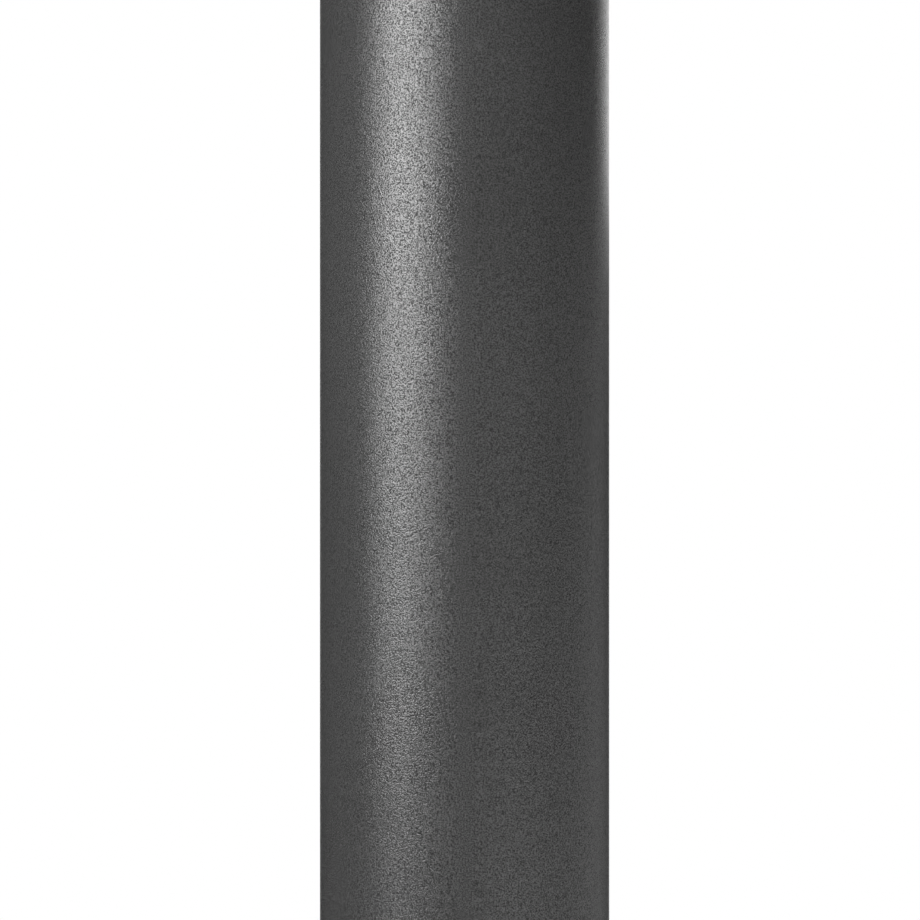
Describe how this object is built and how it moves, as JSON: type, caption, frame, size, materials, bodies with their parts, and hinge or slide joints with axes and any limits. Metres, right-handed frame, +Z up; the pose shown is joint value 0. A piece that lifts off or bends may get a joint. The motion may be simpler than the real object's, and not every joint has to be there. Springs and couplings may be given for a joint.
{
  "type": "street lamp post",
  "caption": "Straight round powder-coated lamp post on a bolted flange, with a locking service door, a fused cut-out inside and a conical post-top lantern.",
  "frame": {"origin": "centre of the base flange's underside, at ground level", "axes": "+Z up along the post, -Y out through the service door, +X to the right of someone facing the door"},
  "size_m": [0.479, 0.511, 3.892],
  "materials": {
    "column_coat": "graphite fine-texture powder coat",
    "lantern_coat": "cast aluminium under a graphite fine-texture powder coat",
    "inner_steel": "zinc-plated pressed steel",
    "stainless": "stainless steel fasteners",
    "frame_aluminium": "mill-finish aluminium",
    "lock_zinc": "satin-chromed zinc die casting",
    "earth_brass": "machined brass",
    "fuse_brass": "sprung brass",
    "fuse_ceramic": "glazed fuse body with metal caps",
    "seal_rubber": "black sponge rubber",
    "seal_silicone": "pale grey silicone",
    "tray_plastic": "light grey glass-filled moulding",
    "carrier_plastic": "black phenolic moulding",
    "terminal_plastic": "ivory moulded terminal plastic",
    "gear_plastic": "white moulded housing",
    "bowl_clear": "clear moulded polycarbonate",
    "lens_clear": "clear moulded acrylic optic",
    "board_white": "white solder mask on an aluminium-core board",
    "led_phosphor": "yellow phosphor over a light source"
  },
  "bodies": {
    "column": {"base_flange": "column_coat", "shaft": "column_coat", "door_frame": "frame_aluminium", "c_rail": "inner_steel", "rail_rivets": "column_coat", "earth_stud": "earth_brass", "earth_nuts": "earth_brass", "earth_washers": "earth_brass", "cutout_tray": "tray_plastic", "cutout_cover": "tray_plastic", "cutout_cover_screws": "stainless", "cutout_fixing_bolt": "stainless", "rail_nut": "inner_steel", "cable_grommets": "seal_rubber", "fuse_base": "carrier_plastic", "fuse_clips": "fuse_brass", "terminal_block": "terminal_plastic", "terminal_screws": "earth_brass", "lantern_socket": "lantern_coat", "socket_grub_screws": "stainless", "lantern_stem": "lantern_coat", "stem_screws": "stainless", "bowl": "bowl_clear", "bowl_foot_seal": "seal_silicone", "bowl_mouth_seal": "seal_silicone", "led_board": "board_white", "led_packages": "led_phosphor", "lens_ring": "lens_clear", "lens_screws": "stainless", "canopy_pan": "lantern_coat", "lid_seal": "seal_silicone", "hinge_pin": "stainless", "led_driver": "gear_plastic", "surge_protector": "gear_plastic", "gear_terminals": "terminal_plastic", "gear_screws": "stainless"},
    "door": {"door_panel": "column_coat", "door_gasket": "seal_rubber", "door_tongue": "frame_aluminium", "lock_housing": "lock_zinc", "lock_nut": "lock_zinc", "latch_guide": "inner_steel"},
    "lock_barrel": {"lock_barrel": "lock_zinc"},
    "latch": {"latch_slide": "inner_steel"},
    "fuse_carrier_left": {"fuse_carrier_left": "carrier_plastic", "fuse_left": "fuse_ceramic"},
    "fuse_carrier_right": {"fuse_carrier_right": "carrier_plastic", "fuse_right": "fuse_ceramic"},
    "canopy_lid": {"canopy_lid": "lantern_coat", "lid_screw": "stainless"}
  },
  "joints": [
    {"name": "door_tilt", "type": "hinge", "parent": "column", "child": "door", "pos_m": [0, -0.038, 0.5608], "axis": [1, 0, 0], "range_deg": [0, 45]},
    {"name": "lock_turn", "type": "hinge", "parent": "door", "child": "lock_barrel", "pos_m": [0, -0.03, 0.834], "axis": [0, -1, 0], "range_deg": [0, 90]},
    {"name": "latch_lift", "type": "slide", "parent": "door", "child": "latch", "axis": [0, 0, 1], "range_m": [0, 0.00707]},
    {"name": "fuse_pull_left", "type": "slide", "parent": "column", "child": "fuse_carrier_left", "axis": [0, -1, 0], "range_m": [0, 0.01]},
    {"name": "fuse_pull_right", "type": "slide", "parent": "column", "child": "fuse_carrier_right", "axis": [0, -1, 0], "range_m": [0, 0.01]},
    {"name": "lid_open", "type": "hinge", "parent": "column", "child": "canopy_lid", "pos_m": [0, 0.247, 3.819], "axis": [-1, 0, 0], "range_deg": [0, 75]}
  ],
  "couplings": [
    {"joint": "latch_lift", "follows": "lock_turn", "m_per_rad": 0.0045011}
  ]
}
